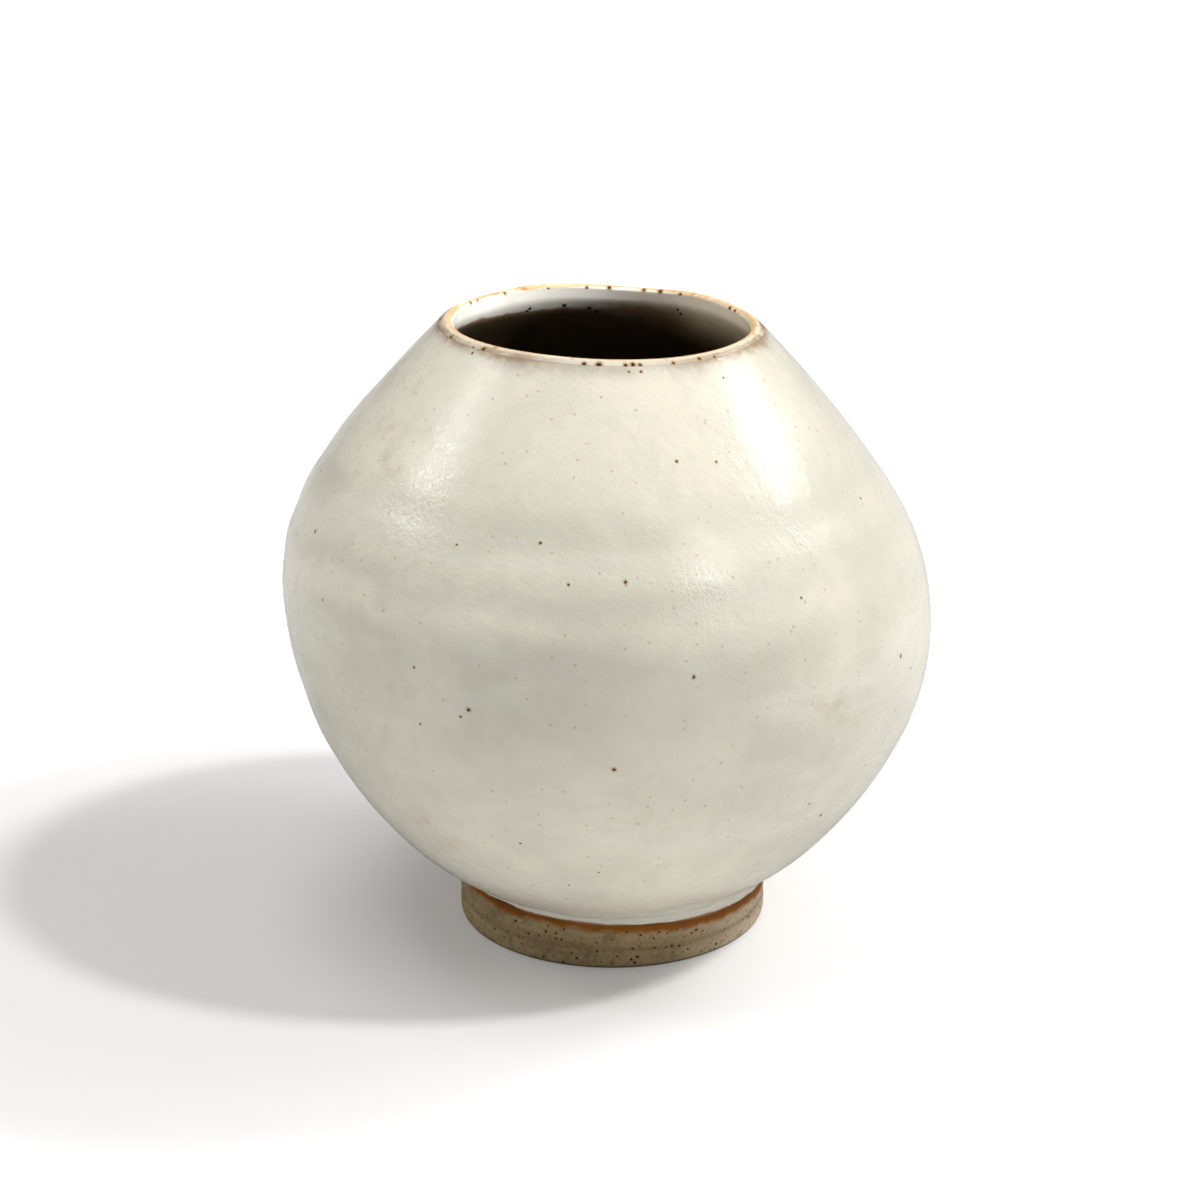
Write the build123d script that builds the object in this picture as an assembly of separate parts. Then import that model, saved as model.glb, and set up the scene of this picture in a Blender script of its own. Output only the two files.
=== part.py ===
from build123d import *

import os
from math import cos, radians, sin, tan

# A moon jar: two thrown bowls joined rim to rim at the belly, set on a luted foot ring,
# finished with a thin lip and glazed inside and out. Millimetres, +Z up, +X to the right
# of the front. The origin is the centre of the foot ring's resting face, on the table.

# Lower bowl: the outside of its clay
recess_depth = 8.7  # from the table up to the bowl's flat underside
underside_radius = 24.0
underside_lean = 75.0  # degrees that the wall leans out where it leaves the underside
lower_depth = 73.5  # from the flat underside up to the belly
belly_radius = 77.3
haunch_drop = 44.5  # a point on the wall, this far below the belly
haunch_setback = 14.6  # and this far in from it

# Upper bowl
upper_depth = 67.4  # from the belly up to the lip
shoulder_rise = 31.0  # a point on the wall, this far above the belly
shoulder_setback = 10.4  # and this far in from it
mouth_radius = 36.2
mouth_lean = 43.5  # degrees that the wall leans in at the lip

# The jar is not quite true: the upper bowl was set down off centre and its mouth tilts
axis_drift = -4.8  # along X, of the shoulder from the foot
drift_span = 63.0  # height in which the wall crosses from the foot's axis to the shoulder's
drift_rise = 10.0  # middle of that crossing, above the belly
mouth_return = 2.2  # along X, of the mouth from the shoulder
mouth_tilt = 1.3  # degrees, left side up

# Clay walls, thick at the base as they come off the wheel, and the glaze on them
base_wall = 6.5
belly_wall = 5.0
mouth_wall = 4.5
glaze_coat = 0.5

# Belly joint
seam_bevel = 20.0  # degrees, the lower bowl's rim standing higher outside
belly_slip_coat = 0.8

# Lip
rim_depth = 8.0
lip_thickness = 1.4  # of clay, from the outline in to the open mouth
lip_round = 0.9
lip_bare = 1.2  # left unglazed below the lip
trim_allowance = 3.0  # clay thrown above the lip and cut off

# Foot ring
foot_radius = 37.8
foot_width = 7.3
foot_round = 0.8
foot_slip_coat = 0.8
groove_height = 5.0
groove_radius = 1.6
groove_depth = 0.35
glaze_line = 11.9  # height on the jar's axis at which the glaze ends on the foot
glaze_line_tilt = 2.0  # degrees, left side up
glaze_cove = 1.5  # radius of the glaze that pools between bowl and foot

# Modelling values
slices_per_bowl = 9  # round slices that carry each bowl's skin
same_place = 0.01  # nearer than this, two rings are one

# Derived places
belly_height = recess_depth + lower_depth
jar_height = belly_height + upper_depth
foot_inner_radius = foot_radius - foot_width
foot_blank_height = belly_height - haunch_drop  # well into the bowl, before the ring is coped
open_radius = mouth_radius - lip_thickness
reach = belly_radius + belly_wall  # beyond the widest wall, for cutting shapes


def leaning(degrees):
    """Direction up a wall that leans in by some degrees, or out where they are negative."""
    return (-sin(radians(degrees)), cos(radians(degrees)))


def ease(share):
    """Smooth S from 0 to 1 as a share of a span goes from 0 to 1."""
    held = min(max(share, 0.0), 1.0)
    return held * held * (3.0 - 2.0 * held)


# The wall's outline, radius across and height up, as one curve for each bowl
lower_outline = Spline(
    (underside_radius, recess_depth),
    (belly_radius - haunch_setback, belly_height - haunch_drop),
    (belly_radius, belly_height),
    tangents=[leaning(-underside_lean), leaning(0)],
)
upper_outline = Spline(
    (belly_radius, belly_height),
    (belly_radius - shoulder_setback, belly_height + shoulder_rise),
    (mouth_radius, jar_height),
    tangents=[leaning(0), leaning(mouth_lean)],
)


def lower_wall(share):
    """Wall of the lower bowl, as a share of the way from its base to the belly."""
    return base_wall + (belly_wall - base_wall) * share


def upper_wall(share):
    """Wall of the upper bowl, as a share of the way from the belly to the lip."""
    return belly_wall + (mouth_wall - belly_wall) * share


def tilted_plane(centre, degrees):
    """Level plane turned about Y until its left side is up by some degrees."""
    tilt = radians(degrees)
    return Plane(origin=centre, x_dir=(cos(tilt), 0, -sin(tilt)), z_dir=(sin(tilt), 0, cos(tilt)))


def jar_plane(height):
    """Plane of a slice at a height, centred on the drifting axis and tilted towards the mouth."""
    crossing = ease((height - belly_height - drift_rise) / drift_span + 0.5)
    upper_share = ease((height - belly_height) / upper_depth)
    offset = axis_drift * crossing + mouth_return * upper_share
    return tilted_plane((offset, 0, height), mouth_tilt * upper_share)


def slice_at(point, along, inset):
    """Round slice of the jar at a point of the outline, taken in square to the wall."""
    plane = jar_plane(point.Y).offset(inset * along.X)
    return plane * Circle(point.X - inset * along.Y)


def form(inset, with_wall=False):
    """Solid of the whole jar's shape, taken in from the clay's outside, and by the wall as well if asked."""
    slices = []
    for outline, wall, count in (
        (lower_outline, lower_wall, slices_per_bowl),
        (upper_outline, upper_wall, slices_per_bowl + 1),
    ):
        for step in range(count):
            share = step / slices_per_bowl
            depth = inset + (wall(share) if with_wall else 0.0)
            slices.append(slice_at(outline @ share, outline % share, depth))
    along = upper_outline % 1
    depth = inset + (upper_wall(1.0) if with_wall else 0.0)
    slices.append(slice_at(upper_outline @ 1 + along * trim_allowance, along, depth))
    return loft(slices)


lip_plane = jar_plane(jar_height)
bare_plane = lip_plane.offset(-lip_bare)
rim_plane = lip_plane.offset(-rim_depth)


def mouth_bore(radius):
    """Straight bore of the mouth, from inside the jar to above the lip."""
    return lip_plane * Cylinder(radius, 2 * rim_depth)


def below_seam(lift):
    """All that lies under the bevelled belly joint, raised by a lift."""
    slope = tan(radians(seam_bevel))
    middle = belly_radius - belly_wall / 2
    edge = belly_height + lift + slope * (reach - middle)
    apex = belly_height + lift - slope * middle
    outline = Polyline((0, 0, 0), (reach, 0, 0), (reach, 0, edge), (0, 0, apex), close=True)
    seat = Pos(jar_plane(belly_height).origin.X, 0, 0)
    return seat * revolve(make_face(outline), Axis.Z)


def make_foot_blank():
    """Foot ring before it is coped to the bowl: rounded resting edges and one throwing groove."""
    section = Plane.XZ * Rectangle(foot_width, foot_blank_height, align=(Align.MIN, Align.MIN))
    section = Pos(foot_inner_radius, 0, 0) * section
    section = fillet(section.vertices().group_by(Axis.Z)[0], foot_round)
    groove_centre = foot_radius + groove_radius - groove_depth
    section -= Pos(groove_centre, 0, groove_height) * (Plane.XZ * Circle(groove_radius))
    return revolve(section, Axis.Z)


def make_outer_glaze(skin, clay, foot):
    """Coat over the clay, pooled in the angle above the foot and ending on it at a tilted line."""
    skirt_radius = foot_radius + glaze_coat
    skirt = Cylinder(skirt_radius, foot_blank_height, align=(Align.CENTER, Align.CENTER, Align.MIN))
    glazed = skin + skirt
    rings = glazed.edges().filter_by(GeomType.LINE, reverse=True)
    pooled = [ring for ring in rings if meets_skirt(ring, skirt_radius)]
    glazed = fillet(pooled, glaze_cove)
    line_plane = tilted_plane((0, 0, glaze_line), glaze_line_tilt)
    coat = split(glazed - clay - foot, line_plane, Keep.TOP)
    return split(coat, bare_plane, Keep.BOTTOM)


def meets_skirt(ring, skirt_radius):
    """Whether a ring is where the skirt of glaze meets the bowl above it."""
    spot = ring @ 0
    off_skirt = abs(Vector(spot.X, spot.Y).length - skirt_radius)
    return spot.Z > recess_depth and off_skirt < same_place


def make_inner_glaze(hollow, lining):
    """Coat on the inside wall and floor, up to just below the lip."""
    return split(hollow - lining, bare_plane, Keep.BOTTOM)


def make_mouth_rim(shell, glazed_shell):
    """Lip of the upper bowl: bare at its top, flush with the two coats of glaze, and rounded over."""
    ring = split(split(shell, rim_plane, Keep.TOP), bare_plane, Keep.BOTTOM)
    bead = split(split(glazed_shell, bare_plane, Keep.TOP), lip_plane, Keep.BOTTOM)
    top = bead.faces().sort_by(Axis(lip_plane.origin, lip_plane.z_dir))[-1]
    return ring + fillet(top.edges(), lip_round)


def make_jar():
    """Every piece of the jar by name."""
    skin = form(-glaze_coat)
    clay = form(0.0)
    slip_bed = form(-foot_slip_coat)
    hollow = form(0.0, with_wall=True) + mouth_bore(open_radius + glaze_coat)
    lining = form(glaze_coat, with_wall=True) + mouth_bore(open_radius)
    shell = clay - hollow
    bowls = split(shell, rim_plane, Keep.BOTTOM)
    foot = make_foot_blank()
    return {
        "foot_ring": foot - slip_bed,
        "foot_slip": (foot & slip_bed) - clay,
        "lower_bowl": bowls & below_seam(0.0),
        "belly_slip": (bowls & below_seam(belly_slip_coat)) - below_seam(0.0),
        "upper_bowl": bowls - below_seam(belly_slip_coat),
        "mouth_rim": make_mouth_rim(shell, skin - lining),
        "outer_glaze": make_outer_glaze(skin, clay, foot),
        "inner_glaze": make_inner_glaze(hollow, lining),
    }


os.makedirs("parts", exist_ok=True)
for node, solid in make_jar().items():
    export_step(solid, f"parts/{node}.step")
    box = solid.bounding_box()
    print(node, len(solid.solids()), round(solid.volume), box.min, box.max)
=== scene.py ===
import math

import bpy
from bpy.props import FloatProperty, FloatVectorProperty, IntProperty, PointerProperty
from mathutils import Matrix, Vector
from mathutils.geometry import interpolate_bezier


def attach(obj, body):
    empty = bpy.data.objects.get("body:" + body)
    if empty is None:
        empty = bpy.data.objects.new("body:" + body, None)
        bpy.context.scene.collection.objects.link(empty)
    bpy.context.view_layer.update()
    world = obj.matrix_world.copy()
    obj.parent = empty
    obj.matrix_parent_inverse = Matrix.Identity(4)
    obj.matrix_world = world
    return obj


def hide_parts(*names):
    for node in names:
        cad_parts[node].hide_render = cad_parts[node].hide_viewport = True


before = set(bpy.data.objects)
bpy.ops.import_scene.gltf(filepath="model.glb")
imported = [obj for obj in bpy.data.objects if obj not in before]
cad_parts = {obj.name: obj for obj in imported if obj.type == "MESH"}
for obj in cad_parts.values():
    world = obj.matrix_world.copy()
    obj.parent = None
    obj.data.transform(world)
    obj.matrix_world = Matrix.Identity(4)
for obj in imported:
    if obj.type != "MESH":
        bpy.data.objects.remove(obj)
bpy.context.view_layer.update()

bl_info = {
    "name": "Moon Jar",
    "version": (1, 0, 0),
    "blender": (4, 5, 0),
    "location": "View3D > Sidebar > Moon Jar",
    "description": "Glazes a thrown moon jar, finishes its lip and foot and sets it in a pale studio",
    "category": "Object",
}

MM = 0.001

# Iron spots in the outer glaze: turn from the front in degrees, height and size in millimetres
WALL_SPOTS = (
    (-67, 107, 0.47), (-30, 114, 0.34), (-14, 116, 0.42), (-8, 108.5, 0.38), (2, 109, 0.51),
    (15, 130.5, 0.42), (25, 129.5, 0.34), (13, 89, 0.51), (59, 80.5, 0.55), (-24, 80, 0.55),
    (0, 68, 0.55), (45, 44.5, 0.51), (39, 50.5, 0.34), (64, 114.5, 0.34), (-18, 45, 0.34),
    (-3, 37, 0.3), (-10, 31.5, 0.3), (-34, 87.5, 0.38), (-33.5, 74, 0.34), (-81, 116, 0.38),
    (-57.5, 95, 0.34), (35, 101.5, 0.34), (-25.5, 78, 0.34), (63.5, 75.5, 0.34), (38, 144, 0.34),
    (5, 147.3, 0.34), (9, 147.2, 0.38), (-51, 148.2, 0.42), (98, 95, 0.42), (118, 60, 0.51),
    (140, 120, 0.38), (152, 84, 0.55), (171, 108, 0.42), (-166, 70, 0.51), (-150, 98, 0.42),
    (-139, 48, 0.38), (-125, 117, 0.42), (-112, 77, 0.51), (-96, 58, 0.42), (128, 36, 0.34),
)

# Iron specks on the outside of the lip, on its inner side and in the glaze inside the mouth
LIP_SPOTS = (
    (-66, 149.6, 0.75), (-50, 149, 0.5), (-45, 149.9, 0.88), (-6, 149.4, 0.69), (-1, 149.2, 0.94),
    (8, 149, 0.62), (10.5, 149.2, 0.75), (13, 148.8, 0.62), (25, 148.7, 0.56), (35.5, 149, 0.62),
    (42, 148.3, 0.5), (92, 148.5, 0.88), (75, 148.4, 0.5), (-90, 150, 0.62), (140, 149, 0.62),
    (-160, 149.3, 0.75), (178, 149, 0.62), (115, 148.4, 0.62),
)
INNER_LIP_SPOTS = (
    (-117, 149.9, 0.57), (-122, 149.8, 0.46), (-138, 149.7, 0.57), (-158, 149, 0.46), (-174, 148.9, 0.52),
    (177, 149, 0.69), (163, 148.9, 0.63), (156, 148.9, 0.8), (147, 148.6, 0.57), (119, 148.2, 0.69),
    (115, 148, 0.57), (20, 148.6, 0.57), (-40, 149.3, 0.57),
)
INSIDE_SPOTS = (
    (-147, 144.4, 0.8), (-146, 143.8, 0.7), (-161, 144.4, 1), (-171, 143.4, 0.85), (-174, 142.4, 0.95),
    (152, 144.4, 0.6), (151, 143.4, 0.7), (169, 140.9, 0.6), (-140, 142.4, 0.6), (30, 141.4, 0.7),
    (-60, 139.4, 0.7),
)

# Iron specks in the bare clay of the foot
FOOT_SPOTS = (
    (-38, 8.9, 0.6), (-25, 8.3, 0.6), (-24, 9.8, 0.4), (-21, 8.3, 0.5), (-21, 6.9, 0.5), (-18, 9.7, 0.5),
    (-28, 6.7, 0.5), (-37, 4.8, 0.45), (-41, 11.2, 0.4), (-35, 11.2, 0.45), (-50, 11.2, 0.35), (5, 9.9, 0.5),
    (10, 8.8, 0.55), (17, 9, 0.5), (22, 4.8, 0.6), (25, 4.4, 0.6), (24, 9, 0.45), (20, 8.5, 0.35),
    (9, 3.1, 0.6), (8, 1.6, 0.6), (7, 5.3, 0.5), (15, 7.6, 0.45), (30, 7.1, 0.45), (32, 7.6, 0.4),
    (46, 5, 0.4), (-26, 1.4, 0.5), (-15, 3.6, 0.4), (-44, 3.3, 0.4), (-54, 9.3, 0.35), (-61, 5.3, 0.35),
    (-66, 3.7, 0.35), (-7, 10.3, 0.35), (41, 9, 0.35), (56, 1.8, 0.35), (64, 5.3, 0.35), (-6, 7, 0.35),
    (90, 6, 0.5), (104, 3, 0.4), (121, 8, 0.5), (139, 4.5, 0.6), (150, 7.5, 0.4), (163, 2.5, 0.5),
    (178, 6.5, 0.45), (-168, 9, 0.5), (-152, 4, 0.6), (-141, 7.5, 0.4), (-120, 3, 0.5), (-101, 6.5, 0.45),
    (-86, 8.5, 0.4), (-80, 2.5, 0.35),
)

# Places where the hand-cut mouth rises or sinks: turn in degrees, rise and reach in millimetres
LIP_WAVES = (
    (-157, 0.3, 15), (168, -0.45, 17), (140, 0.3, 13), (-125, -0.35, 15), (108, -0.25, 15),
    (-25, 0.15, 18), (28, -0.2, 20), (70, 0.15, 15), (-70, -0.2, 16),
)

# Places where the lower edge of the glaze rises or hangs on the foot
LINE_WAVES = (
    (-42, 0.55, 7), (-33, -0.35, 6), (-8, -0.3, 10), (14, 0.2, 9), (34, -0.25, 8), (58, 0.3, 10),
    (100, -0.4, 12), (135, 0.35, 11), (170, -0.3, 13), (-150, 0.3, 11), (-110, -0.35, 12), (-75, 0.3, 10),
)

# Tone of the outer glaze by height in millimetres, from 0 for thin and grey to 1 for thick and cream, partly
# painted shade in the throwing grooves and below the belly
GLAZE_TONES_AND_SHADE = (
    (14, 0.75), (40, 0.65), (66, 0.5), (84, 0.4), (92, 0.1), (98.5, 1.0), (104, 0.2), (110, 0.9),
    (116.5, 0.2), (124, 0.85), (148, 0.9),
)

# How far the floor goes over to white, by distance from the middle of the shadow in millimetres
FLOOR_GLOW = ((0, 0.14), (60, 0.15), (100, 0.2), (140, 0.42), (200, 0.8), (270, 1.0))

# Grooves that the potter's fingers left: height and half width in millimetres, and share of the full depth
GROOVES = (
    (131, 3.5, 0.3), (116.5, 3, 1.0), (104, 3.2, 1.0), (92, 3, 0.9), (79, 4, 0.4), (64, 4.5, 0.45),
    (48, 4, 0.35), (33, 4, 0.3),
)
GROOVE_SIDE = math.radians(50)  # turn to the left of the front at which they are deepest
GROOVE_WANDER = 1.8  # millimetres that they rise and fall on their way round

# Shares of the throwing depth that go into the grooves and into flat hollows, and the size of a hollow
GROOVE_PART = 0.65
HOLLOW_PART = 0.35
HOLLOW_SIZE = (45 * MM, 45 * MM, 9 * MM)

# Heights between which hollows are pressed into the wall, and the height in which they fade out
WALL_FOOT = 14 * MM
WALL_LIP = 147 * MM
WALL_FADE = 12 * MM

# Outlines of the wall: a curve's start, two handles and end, as radius and height in millimetres
OUTER_SHOULDER = ((38.6, 148.6), (59.0, 129.0), (80.6, 119.0), (80.6, 82.2))
OUTER_HAUNCH = ((80.6, 82.2), (80.6, 45.0), (63.0, 26.0), (41.8, 15.3))
INNER_SHOULDER = ((35.0, 143.7), (50.0, 127.0), (69.5, 112.0), (69.5, 82.2))
INNER_HAUNCH = ((69.5, 82.2), (69.5, 46.0), (50.0, 16.2), (20.0, 15.6))

# Rings that end those walls: the roll of glaze on the foot and the floor of the hollow
GLAZE_ROLL = ((40.2, 14.7), (39.3, 14.1), (38.7, 13.5), (38.4, 12.7), (38.35, 11.9))
HOLLOW_FLOOR = ((9.0, 15.4), (3.0, 15.4))

# How far the wall's centre ends up off the foot's axis, and the heights between which it goes there
LEAN = -3.8 * MM
LEAN_START = 40 * MM
LEAN_SPAN = 70 * MM

# Rings of the lip and of the collar in it: distance out from the bore and drop from the lip, in millimetres
LIP_TOP = (
    (2.9, 0.9), (2.5, 0.62), (2.0, 0.36), (1.55, 0.15), (1.15, 0.07), (0.7, 0.2), (0.3, 0.5), (0.08, 0.85),
)
LIP_BACK = ((0.6, 2.6), (1.6, 4.4), (2.9, 6.4), (4.1, 7.85), (5.2, 7.95), (8.5, 7.9), (5.8, 4.6))
COLLAR = ((0, 2.2), (0, 3.2), (0, 4.2), (2.0, 7.9))

# Rings of the foot: distance in from its outside, or out from its inside, and height in millimetres
FOOT_TOP = 13.0
FOOT_OUTSIDE = (
    (0, 10.6), (0, 9.0), (0, 7.2), (0, 6.1), (0.4, 5.0), (0, 3.9), (0, 2.4), (0, 1.0), (0.25, 0.25),
    (0.9, 0), (2.4, 0),
)
FOOT_INSIDE = (
    (2.4, 0), (0.9, 0), (0.25, 0.25), (0, 1.0), (0, 3.4), (0, 6.0), (0, 9.0), (2.2, 10.4), (4.6, 11.6),
)

# Modelling values
SAME_PLACE = 0.001 * MM  # points nearer than this are one
GLAZE_LIFT = 0.06 * MM  # of the outer glaze off its solid, before grooves are pressed in
SHARP_EDGE = math.radians(60)  # edges sharper than this stay sharp
OUT_OF_REACH = 120 * MM  # from the axis, outside every wall

# Specular level of the glaze and of the clay
GLAZE_SPECULAR = 0.35
CLAY_SPECULAR = 0.08

# Soft boxes: name, turn and rise in degrees, distance and size in metres, watts, seen mirrored or not
SOFT_BOXES = (
    ("key", 76, 53, 4.0, (0.33, 0.33), 91.0, False),
    ("right_softbox", 103.5, 37, 0.95, (0.29, 0.08), 2.5, True),
    ("left_softbox", -93, 41, 1.26, (0.23, 0.32), 2.9, True),
    ("front_fill", 10, 4, 1.5, (0.8, 0.8), 1.9, False),
    ("overhead", 90, 80, 1.5, (1.0, 1.0), 1.2, False),
    ("overhead_left", -70, 78, 1.5, (0.8, 0.8), 11.0, False),
    ("overhead_back", 170, 62, 1.5, (0.8, 0.8), 1.2, False),
)
GLINT = ("front_glint", 48, 38, 1.5, (0.12, 0.12), 3.4, True)  # only mirrored, it lights nothing
JAR_MIDDLE = (0, 0, 80 * MM)

# Narrow lamps into the mouth: name, turn and rise in degrees, aim and reach in millimetres, watts
MOUTH_LAMPS = (
    ("mouth_left", 72, 36, (-27, 16, 146), 38, 78),
    ("mouth_right", -75, 35, (24, 10, 146), 32, 23),
)
MOUTH_LAMP_AWAY = 1.5
MOUTH_LAMP_SIZE = 10 * MM
MOUTH_LAMP_BLEND = 0.3

# Floor: size in metres, and its colour for bounced light, for a straight view and for a mirrored one
FLOOR_SIZE = 8
FLOOR_LIT = (0.87, 0.87, 0.87)
FLOOR_SEEN = (0.615, 0.6, 0.595)
FLOOR_MIRRORED = (0.36, 0.355, 0.35)
MIRRORED_GLOW = 0.35  # share of the floor's white that the glaze mirrors
SHADOW_MIDDLE = (-92 * MM, -8 * MM, 0)
SURROUNDING_LIGHT = 0.05

# Camera, worked out from the foot circle, the lip circle and the outline
CAMERA_PLACE = (-3.05 * MM, -655.86 * MM, 314.16 * MM)
CAMERA_PITCH = math.radians(70.354)
CAMERA_SENSOR = 36
CAMERA_LENS = 86.55
CAMERA_CLIP = 50


class JarSizes(bpy.types.PropertyGroup):
    """Sizes that the pieces are thrown to."""

    sides: IntProperty(
        name="Sides",
        description="Points round each thrown ring, before smoothing",
        default=96,
        min=24,
    )
    lip_radius: FloatProperty(
        name="Lip radius",
        description="Outside of the lip, where the glaze stops below it",
        default=38.03 * MM,
        unit="LENGTH",
    )
    lip_bore: FloatProperty(
        name="Lip bore",
        description="Radius of the open mouth",
        default=34.8 * MM,
        unit="LENGTH",
    )
    lip_centre: FloatVectorProperty(
        name="Lip centre",
        description="Middle of the mouth, level with the lip's top",
        default=(-2.6 * MM, 0.0, 149.6 * MM),
        subtype="TRANSLATION",
        unit="LENGTH",
    )
    lip_tilt: FloatProperty(
        name="Lip tilt",
        description="How far the mouth tilts, left side up",
        default=math.radians(1.3),
        unit="ROTATION",
    )
    lip_bare: FloatProperty(
        name="Bare lip",
        description="Depth of the lip that carries no glaze",
        default=1.2 * MM,
        unit="LENGTH",
    )
    foot_radius: FloatProperty(
        name="Foot radius",
        description="Outside of the foot ring",
        default=37.8 * MM,
        unit="LENGTH",
    )
    foot_width: FloatProperty(
        name="Foot width",
        description="Width of the foot ring's resting face",
        default=7.3 * MM,
        unit="LENGTH",
    )
    glaze_line: FloatProperty(
        name="Glaze line",
        description="Height on the jar's axis at which the glaze ends on the foot",
        default=11.9 * MM,
        unit="LENGTH",
    )
    glaze_line_tilt: FloatProperty(
        name="Glaze line tilt",
        description="How far that line tilts, left side up",
        default=math.radians(2.0),
        unit="ROTATION",
    )
    glaze_coat: FloatProperty(
        name="Glaze coat",
        description="Thickness of the glaze",
        default=0.4 * MM,
        unit="LENGTH",
    )
    throwing_depth: FloatProperty(
        name="Throwing depth",
        description="How deep the potter's fingers went into the outer wall",
        default=0.45 * MM,
        unit="LENGTH",
    )


def colour(name, description, default):
    """Property for a colour that a user would change."""
    return FloatVectorProperty(
        name=name, description=description, default=default, subtype="COLOR", min=0, max=1
    )


class JarFinish(bpy.types.PropertyGroup):
    """Colours and gloss of the glaze and the clay."""

    cream: colour("Cream", "Glaze where it lies thick and warm", (0.82, 0.775, 0.645))
    # Pale also paints light from the floor onto the roll of glaze at the foot
    pale: colour("Pale", "Glaze where it is thickest and whitest", (0.84, 0.815, 0.72))
    # Grey also carries painted shade in the throwing grooves and below the belly
    grey: colour("Grey", "Glaze where it runs thin and cool", (0.66, 0.633, 0.53))
    # Lavender also paints shade in the crease at the foot
    lavender: colour("Lavender", "Thin glaze below the lip and in a crease at the foot", (0.53, 0.47, 0.39))
    collar: colour("Collar", "White glaze inside the mouth", (0.95, 0.92, 0.85))
    umber: colour("Umber", "Glaze that breaks brown over the edge of the lip", (0.3, 0.165, 0.07))
    lip_tan: colour("Lip tan", "Bare clay of the lip", (0.62, 0.37, 0.15))
    lip_pale: colour("Pale lip", "Lip where a thin film of glaze lies on it", (0.8, 0.6, 0.38))
    lip_grey: colour("Grey lip", "Outside of the lip where the glaze runs thin over it", (0.75, 0.69, 0.56))
    ochre: colour("Ochre", "Iron that bleeds out round a spot", (0.46, 0.26, 0.075))
    rust: colour("Rust", "Iron along the edges of the glaze and in the clay", (0.32, 0.1, 0.005))
    iron: colour("Iron", "Core of an iron spot", (0.032, 0.017, 0.008))
    # Shade is painted shade: warm brownish shade on the right of the collar, where the lamps don't reach
    shade: colour("Shade", "White glaze inside the mouth where it turns brown", (0.72, 0.6, 0.4))
    freckle: colour("Freckle", "Fine specks in the glaze", (0.52, 0.34, 0.1))
    # Dark also darkens the glaze deep inside the mouth, and paints contact shadow along the foot's resting
    # edge
    dark: colour("Dark", "Iron-brown glaze deep inside and darkest edges of the foot", (0.1, 0.072, 0.038))
    clay: colour("Clay", "Bare stoneware of the foot", (0.34, 0.235, 0.122))
    clay_dark: colour("Dark clay", "Stoneware where its grit lies bare", (0.15, 0.105, 0.055))
    # Pale clay also paints light from the floor low down on the foot
    clay_pale: colour("Pale clay", "Stoneware where it is drier", (0.54, 0.405, 0.23))
    # Clay at the right of the foot is painted light, lighter and greyer where the lamps reach it
    clay_lit_right: colour("Dry clay", "Stoneware at the right of the foot, greyest", (0.68, 0.555, 0.41))
    gloss_roughness: FloatProperty(
        name="Gloss roughness",
        description="Roughness of the outer glaze before its mottling",
        default=0.06,
        subtype="FACTOR",
        min=0,
        max=1,
    )


def start_piece():
    """Goes back to object mode with nothing selected."""
    if bpy.context.mode != "OBJECT":
        bpy.ops.object.mode_set(mode="OBJECT")
    bpy.ops.object.select_all(action="DESELECT")


def take_up(piece):
    """Selects one object alone, and makes it the active one."""
    start_piece()
    bpy.context.view_layer.objects.active = piece
    piece.select_set(True)


def open_ring(name, sides, ring, tilt=0.0):
    """Lays down the first ring of a wall, in edit mode with the ring selected."""
    radius, height, shift = ring
    start_piece()
    bpy.ops.mesh.primitive_circle_add(
        vertices=sides,
        radius=radius,
        fill_type="NOTHING",
        location=(shift, 0, height),
        rotation=(0, tilt, 0),
    )
    piece = bpy.context.object
    piece.name = name
    piece.data.name = name
    bpy.ops.object.transform_apply(location=True, rotation=True, scale=True)
    bpy.ops.object.mode_set(mode="EDIT")
    bpy.ops.mesh.select_mode(type="EDGE")
    bpy.ops.mesh.select_all(action="SELECT")
    return piece


def pull_wall(start, rings):
    """Draws the selected ring on, step by step, to each ring's radius, height and sideways shift."""
    radius, height, shift = start
    for next_radius, next_height, next_shift in rings:
        move = (next_shift - shift, 0, next_height - height)
        bpy.ops.mesh.extrude_edges_move(TRANSFORM_OT_translate={"value": move})
        grow = next_radius / radius
        bpy.ops.transform.resize(
            value=(grow, grow, 1), center_override=(next_shift, 0, next_height)
        )
        radius, height, shift = next_radius, next_height, next_shift


def close_section():
    """Joins the first and last ring of a wall, so that it is a closed ring of clay."""
    bpy.ops.mesh.select_all(action="SELECT")
    bpy.ops.mesh.region_to_loop()
    bpy.ops.mesh.bridge_edge_loops()


def face_outwards(piece, inside=False):
    """Points the faces of a wall away from the clay."""
    take_up(piece)
    bpy.ops.object.mode_set(mode="EDIT")
    bpy.ops.mesh.select_all(action="SELECT")
    bpy.ops.mesh.remove_doubles(threshold=SAME_PLACE)
    bpy.ops.mesh.normals_make_consistent(inside=inside)
    bpy.ops.object.mode_set(mode="OBJECT")


def apply_modifier(piece, kind, **settings):
    """Adds a modifier to a piece and applies it."""
    take_up(piece)
    modifier = piece.modifiers.new(kind.title(), kind)
    for name, value in settings.items():
        setattr(modifier, name, value)
    bpy.ops.object.modifier_apply(modifier=modifier.name)


def seat_on(piece, node, lift):
    """Lays a wall onto the surface of the solid that it stands for."""
    apply_modifier(
        piece,
        "SHRINKWRAP",
        target=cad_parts[node],
        wrap_method="NEAREST_SURFACEPOINT",
        wrap_mode="ON_SURFACE",
        offset=lift,
    )


def mark_place(place):
    """Empty that marks a place for a modifier."""
    start_piece()
    bpy.ops.object.empty_add(location=place)
    return bpy.context.object


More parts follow.
